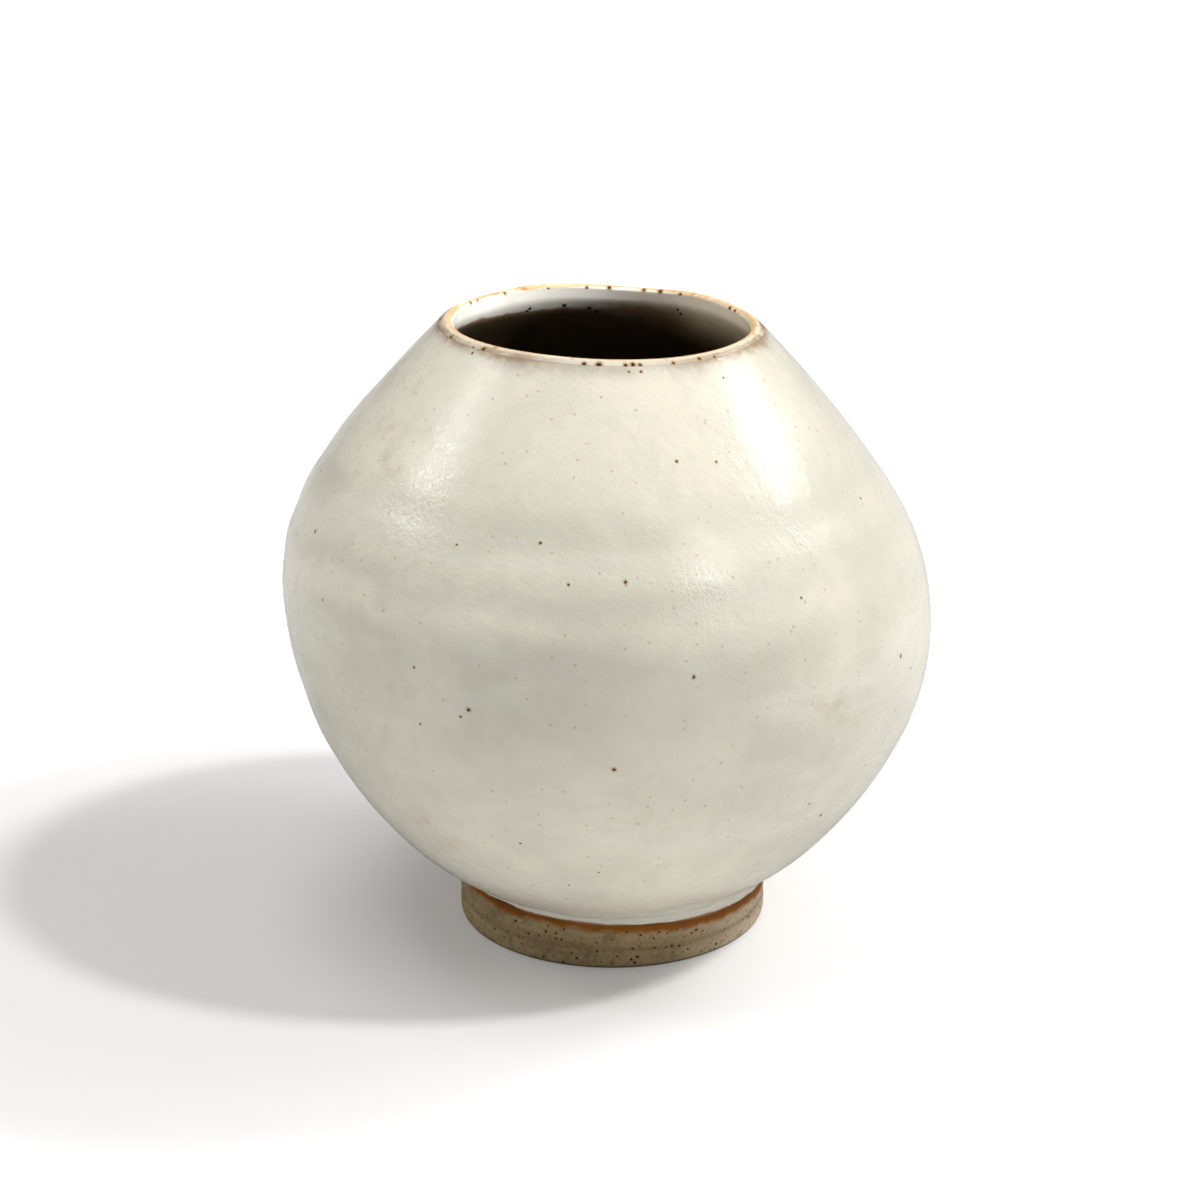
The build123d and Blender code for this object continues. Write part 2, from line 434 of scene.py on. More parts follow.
def wave_edge(piece, centre, radius, tilt, waves):
    """Lifts or sinks a round edge, and the wall near it, at some turns."""
    for turn, rise, reach in waves:
        angle = math.radians(turn)
        across = radius * math.sin(angle)
        place = Vector(centre) + Vector((across, -radius * math.cos(angle), -across * math.tan(tilt)))
        here = mark_place(place)
        there = mark_place(place + Vector((0, 0, rise * MM)))
        apply_modifier(piece, "WARP", object_from=here, object_to=there, falloff_radius=reach * MM)
        for empty in (here, there):
            take_up(empty)
            bpy.ops.object.delete()


def press_in(piece, name, depth, share, **settings):
    """Presses a wall in, by a share of the depth that a function gives for each place on it."""
    group = piece.vertex_groups.new(name=name)
    for vertex in piece.data.vertices:
        group.add([vertex.index], min(max(share(vertex.co), 0.0), 1.0), "REPLACE")
    apply_modifier(piece, "DISPLACE", strength=depth, vertex_group=name, **settings)


def groove_share(place):
    """Depth of the throwing grooves at a place, deepest at the left of the front."""
    turn = math.atan2(place.x, -place.y)
    side = math.cos(turn + GROOVE_SIDE)
    depth = 0.0
    for height, width, share in GROOVES:
        wander = GROOVE_WANDER * math.sin(2 * turn + height)
        depth += share * math.exp(-(((place.z / MM - height - wander) / width) ** 2))
    return depth * (0.5 + 0.5 * side)


def wall_share(place):
    """1 or more on the open wall, falling to 0 towards its lip and its foot."""
    return min(place.z - WALL_FOOT, WALL_LIP - place.z) / WALL_FADE


def throw_marks(piece, depth):
    """Presses throwing grooves and flat, uneven hollows into a wall."""
    press_in(piece, "grooves", -GROOVE_PART * depth, groove_share, mid_level=0.0)
    hollows = bpy.data.textures.new("hollows", "CLOUDS")
    hollows.noise_scale = 1.0
    hollows.noise_depth = 2
    space = mark_place((0, 0, 0))
    space.scale = HOLLOW_SIZE
    press_in(
        piece,
        "hollows",
        HOLLOW_PART * depth,
        wall_share,
        mid_level=1.0,
        texture=hollows,
        texture_coords="OBJECT",
        texture_coords_object=space,
    )
    take_up(space)
    bpy.ops.object.delete()


def smooth_piece(piece):
    """Shades a finished piece smooth, apart from its sharp edges."""
    take_up(piece)
    bpy.ops.object.shade_smooth_by_angle(angle=SHARP_EDGE)


def outline(curve, count):
    """Radius and height of a number of points after the start of a curved wall, in metres."""
    knots = [Vector((*point, 0)) * MM for point in curve]
    return [(point.x, point.y) for point in interpolate_bezier(*knots, count + 1)[1:]]


def in_metres(rings):
    """Radius and height of rings that are given in millimetres."""
    return [(radius * MM, height * MM) for radius, height in rings]


def lean(height):
    """How far the wall's centre lies off the foot's axis at a height."""
    return LEAN * min(max((height - LEAN_START) / LEAN_SPAN, 0.0), 1.0)


def lip_ring(sizes, radius, drop):
    """Ring round the tilted mouth, some way down from its lip."""
    centre = Vector(sizes.lip_centre)
    axis = Vector((math.sin(sizes.lip_tilt), 0, math.cos(sizes.lip_tilt)))
    place = centre - axis * drop
    return radius, place.z, place.x


def bore_rings(sizes, rings):
    """Rings round the mouth, given in millimetres out from its bore and down from its lip."""
    return [lip_ring(sizes, sizes.lip_bore + out * MM, drop * MM) for out, drop in rings]


def place_on(piece, turn, height, inside=False):
    """Point of a piece's outer or inner face at a turn in degrees and a height in millimetres."""
    angle = math.radians(turn)
    outwards = Vector((math.sin(angle), -math.cos(angle), 0))
    middle = Vector((0, 0, height * MM))
    start = middle if inside else middle + outwards * OUT_OF_REACH
    aim = outwards if inside else -outwards
    hit, point, _, _ = piece.ray_cast(start, aim)
    if not hit:
        raise RuntimeError(f"no face of {piece.name} at turn {turn} and height {height}")
    return point


def place_on_lip(piece, centre, radius, turn, height):
    """Point of the lip that is nearest to a radius, a turn in degrees and a height in millimetres."""
    angle = math.radians(turn)
    near = Vector((centre[0] + radius * math.sin(angle), -radius * math.cos(angle), height * MM))
    _, point, _, _ = piece.closest_point_on_mesh(near)
    return point


def hand_in(piece, node, material):
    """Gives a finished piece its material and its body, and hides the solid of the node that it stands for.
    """
    piece.data.materials.clear()
    piece.data.materials.append(material)
    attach(piece, "root")
    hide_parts(node)


class Finish:
    """A procedural material, laid down node by node on the jar's own coordinates."""

    def __init__(self, name):
        self.material = bpy.data.materials.new(name)
        self.material.use_nodes = True
        self.tree = self.material.node_tree
        self.shader = self.tree.nodes["Principled BSDF"]
        self.place = self.node("ShaderNodeTexCoord").outputs["Object"]

    def node(self, kind, inputs=None, **settings):
        """Adds a node with its settings, and fills or joins its sockets."""
        added = self.tree.nodes.new(kind)
        for name, value in settings.items():
            setattr(added, name, value)
        for name, value in (inputs or {}).items():
            self.plug(added.inputs[name], value)
        return added

    def plug(self, socket, value):
        """Joins a socket to another node's output, or sets its value."""
        if isinstance(value, bpy.types.NodeSocket):
            self.tree.links.new(value, socket)
        elif socket.type == "RGBA":
            socket.default_value = (*value, 1.0)
        else:
            socket.default_value = value

    def set(self, **values):
        """Sets or joins the shader's sockets, named with underscores for spaces."""
        for name, value in values.items():
            self.plug(self.shader.inputs[name.replace("_", " ")], value)

    def stretched(self, scale):
        """Coordinates stretched by a scale for each axis."""
        return self.node("ShaderNodeMapping", {"Vector": self.place, "Scale": scale}).outputs[0]

    def turned(self, centre, tilt):
        """Coordinates from a centre, on a plane that tilts left side up."""
        return self.node(
            "ShaderNodeMapping",
            {"Vector": self.place, "Location": centre, "Rotation": (0, tilt, 0)},
            vector_type="TEXTURE",
        ).outputs[0]

    def above(self, centre=(0, 0, 0), tilt=0.0):
        """Height above a plane that tilts left side up, or above the table, in millimetres."""
        height = self.node("ShaderNodeSeparateXYZ", {0: self.turned(centre, tilt)}).outputs["Z"]
        return self.math("MULTIPLY", height, 1 / MM)

    def off_axis(self, centre, tilt=0.0):
        """Distance from the axis of a plane that may tilt, in millimetres."""
        flat = self.node(
            "ShaderNodeVectorMath", {0: self.turned(centre, tilt), 1: (1, 1, 0)}, operation="MULTIPLY"
        )
        away = self.node("ShaderNodeVectorMath", {0: flat.outputs[0]}, operation="LENGTH")
        return self.math("MULTIPLY", away.outputs["Value"], 1 / MM)

    def across(self):
        """Distance to the right of the foot's axis, in millimetres."""
        side = self.node("ShaderNodeSeparateXYZ", {0: self.place}).outputs["X"]
        return self.math("MULTIPLY", side, 1 / MM)

    def uneven(self, value, scale, amount):
        """Value pushed up and down by a noise, by an amount at most."""
        return self.math("ADD", value, self.ramp(self.noise(scale, 4, 0.65), 0.2, 0.8, -amount, amount))

    def curve(self, value, stops):
        """Value read off a smooth curve through some places and levels."""
        low, high = stops[0][0], stops[-1][0]
        spread = self.node(
            "ShaderNodeMapRange", {"Value": value, "From Min": low, "From Max": high}
        ).outputs["Result"]
        band = self.node("ShaderNodeValToRGB", {"Fac": spread})
        band.color_ramp.interpolation = "EASE"
        knots = band.color_ramp.elements
        while len(knots) < len(stops):
            knots.new(0.5)
        for knot, (place, level) in zip(knots, stops):
            knot.position = (place - low) / (high - low)
            knot.color = (level, level, level, 1)
        return band.outputs["Color"]

    def math(self, operation, first, second=0.0):
        """Result of one sum on two values."""
        return self.node("ShaderNodeMath", {0: first, 1: second}, operation=operation).outputs[0]

    def apart(self, value, level):
        """Distance of a value from a level, on either side."""
        return self.math("ABSOLUTE", self.math("SUBTRACT", value, level))

    def noise(self, scale, detail=3.0, roughness=0.55, place=None, distortion=0.0):
        """Cloudy value between 0 and 1, with features of about 1/scale metres."""
        return self.node(
            "ShaderNodeTexNoise",
            {
                "Vector": place or self.place,
                "Scale": scale,
                "Detail": detail,
                "Roughness": roughness,
                "Distortion": distortion,
            },
        ).outputs["Fac"]

    def ramp(self, value, low, high, start=0.0, end=1.0):
        """Value eased from start to end while another goes from low to high."""
        return self.node(
            "ShaderNodeMapRange",
            {"Value": value, "From Min": low, "From Max": high, "To Min": start, "To Max": end},
            interpolation_type="SMOOTHSTEP",
        ).outputs["Result"]

    def mix(self, share, under, over):
        """Colour of one layer over another."""
        mixed = self.node("ShaderNodeMix", data_type="RGBA")
        for index, value in ((0, share), (6, under), (7, over)):
            self.plug(mixed.inputs[index], value)
        return mixed.outputs[2]

    def bump(self, height, strength, distance, normal=None):
        """Normal of a surface roughened by a height."""
        inputs = {"Height": height, "Strength": strength, "Distance": distance}
        if normal:
            inputs["Normal"] = normal
        return self.node("ShaderNodeBump", inputs).outputs["Normal"]

    def wobbled(self, scale, amount):
        """Coordinates pushed about a little, so that marks are not quite round."""
        wander = self.node("ShaderNodeTexNoise", {"Vector": self.place, "Scale": scale})
        offset = self.node(
            "ShaderNodeVectorMath",
            {0: wander.outputs["Color"], 1: (-0.5, -0.5, -0.5)},
            operation="ADD",
        )
        scaled = self.node(
            "ShaderNodeVectorMath", {0: offset.outputs[0], "Scale": amount}, operation="SCALE"
        )
        return self.node(
            "ShaderNodeVectorMath", {0: self.place, 1: scaled.outputs[0]}, operation="ADD"
        ).outputs[0]

    def spot_gap(self, spots):
        """Distance to the nearest of some spots, counted in that spot's own size."""
        place = self.wobbled(1400, 0.35 * MM)
        nearest = None
        for point, size in spots:
            away = self.node("ShaderNodeVectorMath", {0: place, 1: point}, operation="DISTANCE")
            gap = self.math("MULTIPLY", away.outputs["Value"], 1 / (size * MM))
            nearest = self.math("MINIMUM", nearest, gap) if nearest else gap
        return nearest

    def specks(self, scale, size, share):
        """Scattered fine specks: 1 inside one, 0 outside."""
        cells = self.node(
            "ShaderNodeTexVoronoi", {"Vector": self.wobbled(900, 0.6 * MM), "Scale": scale}
        )
        inside = self.ramp(cells.outputs["Distance"], size, size * 0.55)
        chance = self.node("ShaderNodeSeparateColor", {0: cells.outputs["Color"]}).outputs[0]
        kept = self.ramp(chance, 1 - share, 1 - share * 0.9)
        return self.math("MULTIPLY", inside, kept)

    def iron_marks(self, base, colours, spots, halo=0.85):
        """Iron spots over a colour, each with a dark core in an ochre halo of some strength."""
        gap = self.spot_gap(spots)
        bled = self.mix(self.ramp(gap, 1.6, 0.6, 0.0, halo), base, colours.ochre)
        return self.mix(self.ramp(gap, 0.8, 0.35), bled, colours.iron)


def below_lip(finish, sizes):
    """Drop from the lip's top, in millimetres."""
    return finish.math("MULTIPLY", finish.above(sizes.lip_centre, sizes.lip_tilt), -1.0)


def above_line(finish, sizes):
    """Height above the line at which the glaze ends on the foot, in millimetres."""
    return finish.above((0, 0, sizes.glaze_line), sizes.glaze_line_tilt)


def glaze_outside(context, spots):
    """Cloudy semi-gloss glaze in throwing bands with painted shade, which breaks to brown at the lip and the
    foot.
    """
    sizes, colours = context.scene.jar_sizes, context.scene.jar_finish
    finish = Finish("outer_glaze_finish")
    # Throwing bands, partly thicker and thinner glaze and partly painted shade in the grooves, strongest at
    # the left, with clouds and streaks over them
    bands = finish.curve(finish.uneven(finish.above(), 15, 5.0), GLAZE_TONES_AND_SHADE)
    middle_tone = 0.55
    off_middle = finish.math("SUBTRACT", bands, middle_tone)
    strength = finish.ramp(finish.across(), 70, -55, 0.25, 1.0)
    tone = finish.math("ADD", finish.math("MULTIPLY", off_middle, strength), middle_tone)
    clouds = finish.ramp(finish.noise(24, 5, 0.6, distortion=0.3), 0.2, 0.8, -0.55, 0.55)
    base = finish.mix(finish.math("ADD", tone, clouds), colours.grey, colours.cream)
    streaks = finish.noise(1, 4, 0.55, finish.stretched((18, 18, 70)))
    base = finish.mix(finish.ramp(streaks, 0.48, 0.75, 0.0, 0.6), base, colours.pale)
    # Mottling, warm stains, freckles and iron spots
    mottle = finish.noise(150, 5, 0.7)
    base = finish.mix(finish.ramp(mottle, 0.42, 0.75, 0.0, 0.4), base, colours.grey)
    stained = finish.ramp(finish.noise(30, 3), 0.55, 0.75)
    stains = finish.math("MULTIPLY", stained, finish.ramp(mottle, 0.45, 0.7))
    base = finish.mix(finish.math("MULTIPLY", stains, 0.3), base, colours.freckle)
    base = finish.mix(finish.math("MULTIPLY", finish.specks(380, 0.17, 0.4), 0.5), base, colours.freckle)
    base = finish.iron_marks(lip_edge(finish, sizes, colours, base), colours, spots)
    base = foot_edge(finish, sizes, colours, base)
    rough = colours.gloss_roughness
    finish.set(Base_Color=base, Roughness=finish.ramp(mottle, 0.2, 0.8, rough, rough + 0.08))
    finish.set(Specular_IOR_Level=GLAZE_SPECULAR)
    # Shallow dimples with fine wrinkles over them
    dimples = finish.bump(finish.noise(420, 2, 0.5), 1.0, 0.12 * MM)
    wrinkles = finish.noise(1000, 3, 0.6, distortion=1.2)
    finish.set(Normal=finish.bump(wrinkles, 1.0, 0.1 * MM, dimples))
    return finish.material


def lip_edge(finish, sizes, colours, base):
    """Glaze that thins to lavender and breaks brown just below the lip."""
    ragged = finish.uneven(finish.uneven(below_lip(finish, sizes), 110, 0.6), 500, 0.4)
    patches = finish.ramp(finish.noise(75, 3), 0.35, 0.65, 0.25, 0.8)
    smudged = finish.math("MULTIPLY", finish.ramp(ragged, 5.0, 1.2), patches)
    base = finish.mix(smudged, base, colours.lavender)
    broken = finish.math("MULTIPLY", finish.ramp(ragged, 3.0, 0.9, 0.0, 0.75), lip_side(finish))
    return finish.mix(broken, base, colours.umber)


def lip_side(finish):
    """Share of brown at the lip, which is strongest at the two sides of the mouth."""
    return finish.ramp(finish.math("ABSOLUTE", finish.across()), 8, 25, 0.15, 1.0)


def foot_edge(finish, sizes, colours, base):
    """White roll of glaze at the foot, partly painted light from the floor, painted shade in the crease
    above it and a rusty lower edge.
    """
    rise = above_line(finish, sizes)
    # Thick roll of glaze, partly painted light from the floor
    base = finish.mix(finish.ramp(rise, 8.0, 2.5, 0.0, 0.9), base, colours.pale)
    # Painted shade in the crease above the roll
    crease = finish.apart(finish.uneven(rise, 120, 0.25), 2.3)
    base = finish.mix(finish.ramp(crease, 0.4, 0.1, 0.0, 0.55), base, colours.lavender)
    edge = finish.uneven(rise, 200, 0.3)
    return finish.mix(finish.ramp(edge, 0.5, 0.05, 0.0, 0.9), base, colours.rust)


def glaze_inside(context, spots):
    """Off-white collar below the lip, then darker glaze deeper in, with painted shadow right of the middle
    and painted shade at the right.
    """
    sizes, colours = context.scene.jar_sizes, context.scene.jar_finish
    finish = Finish("inner_glaze_finish")
    base = collar_white_and_shade(finish, colours)
    right = mouth_right(finish)
    ragged = finish.uneven(finish.uneven(below_lip(finish, sizes), 45, 0.4), 240, 0.3)
    # Brown edge of the collar, which starts deepest at the left; right of the middle it is painted shadow
    # that starts highest, and at the right painted shade
    middle = finish.ramp(finish.apart(finish.across(), 9), 13, 3)
    edge = finish.mix(right, colours.umber, colours.shade)
    edge = finish.mix(middle, edge, colours.umber)
    side_depth = finish.ramp(right, 0, 1, 5.6, 2.5)
    start_depth = finish.math("SUBTRACT", side_depth, finish.math("MULTIPLY", middle, 2.0))
    base = finish.mix(finish.ramp(ragged, start_depth, 6.5, 0.0, 0.9), base, edge)
    # Darker with depth; at the right it darkens more slowly, as painted shade
    full_depth = finish.ramp(right, 0, 1, 7.9, 17.0)
    base = finish.mix(finish.ramp(ragged, 5.7, full_depth), base, colours.dark)
    base = finish.iron_marks(base, colours, spots, 0.0)
    finish.set(Base_Color=base, Roughness=finish.ramp(ragged, 6.0, 9.0, 0.16, 0.5))
    finish.set(Specular_IOR_Level=GLAZE_SPECULAR)
    finish.set(Normal=finish.bump(finish.noise(420, 3, 0.5), 0.4, 0.04 * MM))
    return finish.material


def mouth_right(finish):
    """0 at the left of the mouth, 1 at its right, where the glaze inside gets painted shade."""
    return finish.ramp(finish.across(), -12, 30)


def collar_white_and_shade(finish, colours):
    """White glaze just inside the mouth, with warm painted shade towards the right."""
    clouds = finish.noise(60, 4, 0.65)
    base = finish.mix(finish.ramp(clouds, 0.35, 0.7, 0.0, 0.5), colours.collar, colours.cream)
    return finish.mix(finish.math("MULTIPLY", mouth_right(finish), 0.7), base, colours.shade)


def lip_clay(context, spots):
    """Tan bare top of the lip, between brown-edged glaze outside and white glaze inside."""
    sizes, colours = context.scene.jar_sizes, context.scene.jar_finish
    finish = Finish("lip_finish")
    drop = below_lip(finish, sizes)
    reach = finish.off_axis(sizes.lip_centre, sizes.lip_tilt)
    # Top of the lip, then its outside and its inside
    patches = finish.noise(120, 4, 0.65)
    top = finish.mix(finish.ramp(patches, 0.3, 0.7), colours.lip_tan, colours.lip_pale)
    top = finish.mix(finish.ramp(reach, 35.9, 36.5, 0.0, 0.7), top, colours.cream)
    top = finish.mix(finish.ramp(finish.noise(330, 3, 0.6), 0.55, 0.72, 0.0, 0.6), top, colours.rust)
    broken = finish.math("MULTIPLY", finish.ramp(finish.noise(90, 4, 0.65), 0.8, 0.3), lip_side(finish))
    outside = finish.mix(broken, colours.lip_grey, colours.umber)
    base = finish.mix(finish.ramp(finish.uneven(reach, 260, 0.25), 36.6, 37.2), top, outside)
    inside = finish.ramp(finish.uneven(reach, 200, 0.15), 35.5, 35.1)
    inside = finish.math("MULTIPLY", inside, finish.ramp(finish.uneven(drop, 200, 0.2), 0.5, 0.85))
    base = finish.mix(inside, base, collar_white_and_shade(finish, colours))
    base = finish.mix(finish.specks(700, 0.2, 0.25), base, colours.rust)
    base = finish.iron_marks(base, colours, spots)
    finish.set(Base_Color=base, Roughness=finish.ramp(patches, 0.2, 0.8, 0.25, 0.4))
    finish.set(Normal=finish.bump(finish.noise(900, 3, 0.6), 0.4, 0.04 * MM))
    return finish.material


def bare_clay(context, name, flashed, spots=()):
    """Bare speckled stoneware with painted light low down and at the right, and a flash of rust along the
    glaze line where that is near.
    """
    sizes, colours = context.scene.jar_sizes, context.scene.jar_finish
    finish = Finish(name)
    # Throwing lines, drier patches, painted light low down and at the right side, then grit and specks
    patches = finish.noise(60, 4, 0.6)
    lines = finish.noise(1, 4, 0.6, finish.stretched((18, 18, 420)))
    base = finish.mix(finish.ramp(lines, 0.3, 0.7, 0.0, 0.9), colours.clay, colours.clay_pale)
    base = finish.mix(finish.ramp(patches, 0.35, 0.75, 0.0, 0.6), base, colours.clay_pale)
    # Painted light from the floor, lighter low down on the foot
    low = finish.ramp(finish.above(), 4.6, 2.5, 0.0, 0.6)
    base = finish.mix(low, base, colours.clay_pale)
    mottle = finish.noise(170, 4, 0.7)
    base = finish.mix(finish.ramp(mottle, 0.5, 0.68, 0.0, 0.5), base, colours.clay_dark)
    # Painted light at the right of the foot, where the lamps reach it
    lit_right = finish.ramp(finish.uneven(finish.across(), 60, 5), 12, 34, 0.0, 0.7)
    base = finish.mix(lit_right, base, colours.clay_lit_right)
    grain = finish.noise(1300, 2, 0.6)
    base = finish.mix(finish.ramp(grain, 0.52, 0.7, 0.0, 0.5), base, colours.clay_dark)
    base = finish.mix(finish.specks(460, 0.2, 0.15), base, colours.rust)
    base = finish.mix(finish.specks(600, 0.24, 0.4), base, colours.iron)
    if flashed:
        # Rust below the glaze line, a little wider at the right, with a dark upper edge
        wider_right = finish.ramp(finish.across(), 8, 30, 0.0, 0.5)
        rise = finish.math("ADD", above_line(finish, sizes), wider_right)
        ragged = finish.uneven(finish.uneven(rise, 60, 0.7), 220, 0.6)
        base = finish.mix(finish.ramp(ragged, -2.9, -1.3, 0.0, 0.97), base, colours.rust)
        base = finish.mix(finish.ramp(ragged, -1.2, 0.0, 0.0, 0.5), base, colours.dark)
    if spots:
        base = finish.iron_marks(base, colours, spots, 0.3)
        # Painted shade in the throwing groove and painted contact shadow along the resting edge
        height = finish.above()
        groove = finish.apart(finish.uneven(height, 40, 0.4), 5.0)
        base = finish.mix(finish.ramp(groove, 1.0, 0.1, 0.0, 0.3), base, colours.clay_dark)
        base = finish.mix(finish.ramp(height, 1.2, 0.3, 0.0, 0.85), base, colours.dark)
    finish.set(Base_Color=base, Roughness=finish.ramp(patches, 0.2, 0.8, 0.7, 0.85))
    finish.set(Specular_IOR_Level=CLAY_SPECULAR)
    grit = finish.bump(grain, 0.6, 0.08 * MM)
    finish.set(Normal=finish.bump(lines, 1.0, 0.25 * MM, grit))
    return finish.material


class JAR_OT_outer_glaze(bpy.types.Operator):
    """Coats the outside, from the bare lip down to an uneven line on the foot"""

    bl_idname = "jar.outer_glaze"
    bl_label = "Outer glaze"

    def execute(self, context):
        sizes = context.scene.jar_sizes
        top = lip_ring(sizes, sizes.lip_radius, sizes.lip_bare)
        piece = open_ring("glazed_wall", sizes.sides, top, sizes.lip_tilt)
        wall = outline(OUTER_SHOULDER, count=18) + outline(OUTER_HAUNCH, count=18) + in_metres(GLAZE_ROLL)
        pull_wall(top, [(*ring, lean(ring[1])) for ring in wall])
        bpy.ops.transform.rotate(
            value=sizes.lip_tilt - sizes.glaze_line_tilt,
            orient_axis="Y",
            center_override=(0, 0, sizes.glaze_line),
        )
        face_outwards(piece)
        seat_on(piece, "outer_glaze", GLAZE_LIFT)
        apply_modifier(piece, "SUBSURF", levels=1, render_levels=1)
        throw_marks(piece, sizes.throwing_depth)
        wave_edge(piece, sizes.lip_centre, sizes.lip_radius, sizes.lip_tilt, LIP_WAVES)
        line = (0, 0, sizes.glaze_line)
        wave_edge(piece, line, sizes.foot_radius, sizes.glaze_line_tilt, LINE_WAVES)
        apply_modifier(piece, "SOLIDIFY", thickness=sizes.glaze_coat, offset=-1)
        smooth_piece(piece)
        spots = [(place_on(piece, turn, height), size) for turn, height, size in WALL_SPOTS]
        hand_in(piece, "outer_glaze", glaze_outside(context, spots))
        return {"FINISHED"}


class JAR_OT_mouth_rim(bpy.types.Operator):
    """Turns the bare lip, a closed ring whose rounded top shows between the two coats of glaze"""

    bl_idname = "jar.mouth_rim"
    bl_label = "Lip"

    def execute(self, context):
        sizes = context.scene.jar_sizes
        bare = sizes.lip_bare / MM
        section = (*LIP_TOP, (0, bare), (0.3, bare + 0.1), *LIP_BACK, (2.9, bare + 0.12))
        first = lip_ring(sizes, sizes.lip_radius, sizes.lip_bare)
        piece = open_ring("lip", sizes.sides, first, sizes.lip_tilt)
        pull_wall(first, bore_rings(sizes, section))
        close_section()
        face_outwards(piece)
        apply_modifier(piece, "SUBSURF", levels=1, render_levels=1)
        wave_edge(piece, sizes.lip_centre, sizes.lip_radius, sizes.lip_tilt, LIP_WAVES)
        smooth_piece(piece)
        spots = []
        for radius, places in ((sizes.lip_radius, LIP_SPOTS), (sizes.lip_bore, INNER_LIP_SPOTS)):
            for turn, height, size in places:
                spots.append((place_on_lip(piece, sizes.lip_centre, radius, turn, height), size))
        hand_in(piece, "mouth_rim", lip_clay(context, spots))
        return {"FINISHED"}


class JAR_OT_inner_glaze(bpy.types.Operator):
    """Coats the inside, from the lip's bore to the middle of the floor"""

    bl_idname = "jar.inner_glaze"
    bl_label = "Inner glaze"

    def execute(self, context):
        sizes = context.scene.jar_sizes
        top = lip_ring(sizes, sizes.lip_bore, sizes.lip_bare)
        piece = open_ring("glazed_hollow", sizes.sides, top, sizes.lip_tilt)
        # The last ring of the collar takes the place of the first one on the shoulder
        shoulder = outline(INNER_SHOULDER, count=14)[1:]
        wall = shoulder + outline(INNER_HAUNCH, count=12) + in_metres(HOLLOW_FLOOR)
        pull_wall(top, bore_rings(sizes, COLLAR) + [(*ring, lean(ring[1])) for ring in wall])
        bpy.ops.mesh.extrude_edges_move(TRANSFORM_OT_translate={"value": (0, 0, 0)})
        bpy.ops.mesh.merge(type="CENTER")
        face_outwards(piece, inside=True)
        seat_on(piece, "inner_glaze", 0.0)
        apply_modifier(piece, "SUBSURF", levels=1, render_levels=1)
        wave_edge(piece, sizes.lip_centre, sizes.lip_radius, sizes.lip_tilt, LIP_WAVES)
        apply_modifier(piece, "SOLIDIFY", thickness=sizes.glaze_coat, offset=-1)
        smooth_piece(piece)
        spots = [(place_on(piece, turn, height, True), size) for turn, height, size in INSIDE_SPOTS]
        hand_in(piece, "inner_glaze", glaze_inside(context, spots))
        return {"FINISHED"}


class JAR_OT_foot_ring(bpy.types.Operator):
    """Turns the bare foot ring, with its rounded edges and a throwing groove"""

    bl_idname = "jar.foot_ring"
    bl_label = "Foot ring"

    def execute(self, context):
        sizes = context.scene.jar_sizes
        outer = sizes.foot_radius
        inner = outer - sizes.foot_width
        rings = [(outer - inset * MM, height * MM, 0.0) for inset, height in FOOT_OUTSIDE]
        rings += [(inner + inset * MM, height * MM, 0.0) for inset, height in FOOT_INSIDE]
        first = (outer, FOOT_TOP * MM, 0.0)
        piece = open_ring("foot", sizes.sides, first)
        pull_wall(first, rings)
        close_section()
        face_outwards(piece)
        seat_on(piece, "foot_ring", 0.0)
        apply_modifier(piece, "SUBSURF", levels=1, render_levels=1)
        smooth_piece(piece)
        spots = [(place_on(piece, turn, height), size) for turn, height, size in FOOT_SPOTS]
        hand_in(piece, "foot_ring", bare_clay(context, "foot_finish", True, spots))
        return {"FINISHED"}


class JAR_OT_clay_body(bpy.types.Operator):
    """Gives the bowls and the slip that joins them their bare clay"""

    bl_idname = "jar.clay_body"
    bl_label = "Clay body"

    def execute(self, context):
        clay = bare_clay(context, "bowl_finish", False)
        flashed = bare_clay(context, "slip_finish", True)
        for name, finish in (
            ("lower_bowl", clay), ("upper_bowl", clay), ("belly_slip", clay), ("foot_slip", flashed)
        ):
            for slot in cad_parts[name].material_slots:
                slot.material = finish
        return {"FINISHED"}


def add_lamp(name, kind, aim, turn, rise, away, power, mirrored):
    """Adds a lamp at a turn and a rise round the place that it is aimed at, seen mirrored or not."""
    angle, lift = math.radians(turn), math.radians(rise)
    towards = Vector(
        (math.cos(lift) * math.sin(angle), -math.cos(lift) * math.cos(angle), math.sin(lift))
    )
    turned = (-towards).to_track_quat("-Z", "Y").to_euler()
    bpy.ops.object.light_add(type=kind, location=Vector(aim) + towards * away, rotation=turned)
    lamp = bpy.context.object
    lamp.name = name
    lamp.data.energy = power
    lamp.visible_glossy = mirrored
    return lamp


def aim_light(name, turn, rise, away, size, power, mirrored):
    """Adds a soft box aimed at the middle of the jar."""
    lamp = add_lamp(name, "AREA", JAR_MIDDLE, turn, rise, away, power, mirrored)
    lamp.data.shape = "RECTANGLE"
    lamp.data.size, lamp.data.size_y = size
    return lamp


def light_mouth(name, turn, rise, aim, reach, power):
    """Adds a narrow lamp that shines over the near side of the lip onto the far side of the mouth."""
    lamp = add_lamp(name, "SPOT", Vector(aim) * MM, turn, rise, MOUTH_LAMP_AWAY, power, False)
    lamp.data.spot_size = 2 * math.atan(reach * MM / MOUTH_LAMP_AWAY)
    lamp.data.spot_blend = MOUTH_LAMP_BLEND
    lamp.data.shadow_soft_size = MOUTH_LAMP_SIZE


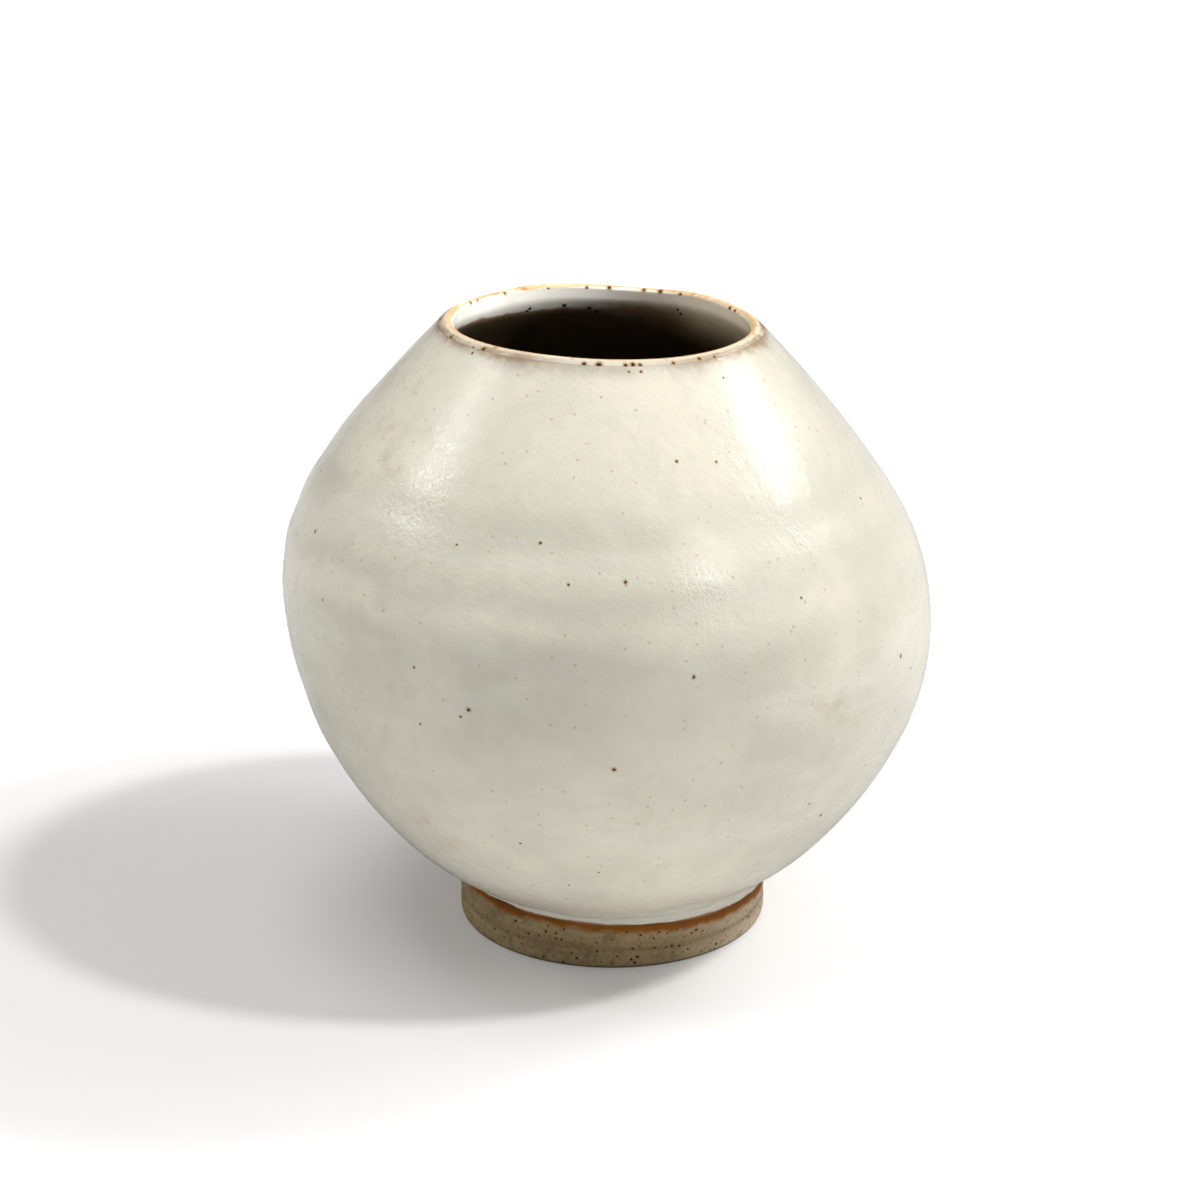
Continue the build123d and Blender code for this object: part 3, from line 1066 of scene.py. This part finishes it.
class JAR_OT_stage(bpy.types.Operator):
    """Sets the floor, the lights, the surroundings and the camera"""

    bl_idname = "jar.stage"
    bl_label = "Studio"

    def execute(self, context):
        scene = context.scene
        start_piece()
        bpy.ops.mesh.primitive_plane_add(size=FLOOR_SIZE)
        floor = context.object
        floor.name = "floor"
        floor.data.materials.append(self.floor_finish())
        for box in SOFT_BOXES:
            aim_light(*box)
        glint = aim_light(*GLINT)
        glint.visible_diffuse = False
        for lamp in MOUTH_LAMPS:
            light_mouth(*lamp)
        bpy.ops.object.camera_add(location=CAMERA_PLACE, rotation=(CAMERA_PITCH, 0, 0))
        camera = context.object
        camera.data.sensor_width = CAMERA_SENSOR
        camera.data.lens = CAMERA_LENS
        camera.data.clip_end = CAMERA_CLIP
        scene.camera = camera
        scene.view_settings.view_transform = "Standard"
        scene.world = self.surroundings()
        return {"FINISHED"}

    def floor_finish(self):
        """Pale matt floor that keeps the jar's shadow and goes over into a white background."""
        finish = Finish("floor_finish")
        path = finish.node("ShaderNodeLightPath").outputs
        straight = finish.math("MAXIMUM", path["Is Camera Ray"], path["Is Transmission Ray"])
        mirrored = finish.math("MULTIPLY", path["Is Glossy Ray"], MIRRORED_GLOW)
        seen = finish.mix(straight, FLOOR_LIT, FLOOR_SEEN)
        glow = finish.curve(finish.off_axis(SHADOW_MIDDLE), FLOOR_GLOW)
        shown = finish.math("MAXIMUM", straight, mirrored)
        finish.set(
            Base_Color=finish.mix(path["Is Glossy Ray"], seen, FLOOR_MIRRORED),
            Roughness=1.0,
            Specular_IOR_Level=0.0,
            Emission_Color=(1, 1, 1),
            Emission_Strength=finish.math("MULTIPLY", glow, shown),
        )
        return finish.material

    def surroundings(self):
        """Dim even light from all round, which the camera doesn't see past the floor."""
        world = bpy.data.worlds.new("studio")
        world.use_nodes = True
        background = world.node_tree.nodes["Background"]
        background.inputs["Color"].default_value = (1, 1, 1, 1)
        background.inputs["Strength"].default_value = SURROUNDING_LIGHT
        return world


class JAR_PT_sidebar(bpy.types.Panel):
    """Lists the jar's pieces, sizes and colours"""

    bl_idname = "JAR_PT_sidebar"
    bl_label = "Moon Jar"
    bl_space_type = "VIEW_3D"
    bl_region_type = "UI"
    bl_category = "Moon Jar"

    def draw(self, context):
        layout = self.layout
        for operator in OPERATORS:
            layout.operator(operator.bl_idname)
        for group, kind in ((context.scene.jar_sizes, JarSizes), (context.scene.jar_finish, JarFinish)):
            for name in kind.__annotations__:
                layout.prop(group, name)


OPERATORS = (
    JAR_OT_outer_glaze,
    JAR_OT_mouth_rim,
    JAR_OT_inner_glaze,
    JAR_OT_foot_ring,
    JAR_OT_clay_body,
    JAR_OT_stage,
)
CLASSES = (JarSizes, JarFinish, *OPERATORS, JAR_PT_sidebar)


def register():
    for cls in CLASSES:
        bpy.utils.register_class(cls)
    bpy.types.Scene.jar_sizes = PointerProperty(type=JarSizes)
    bpy.types.Scene.jar_finish = PointerProperty(type=JarFinish)


def unregister():
    del bpy.types.Scene.jar_finish
    del bpy.types.Scene.jar_sizes
    for cls in reversed(CLASSES):
        bpy.utils.unregister_class(cls)


def main():
    """Makes every piece in order."""
    register()
    bpy.ops.jar.outer_glaze()
    bpy.ops.jar.mouth_rim()
    bpy.ops.jar.inner_glaze()
    bpy.ops.jar.foot_ring()
    bpy.ops.jar.clay_body()
    bpy.ops.jar.stage()


if __name__ == "__main__":
    main()
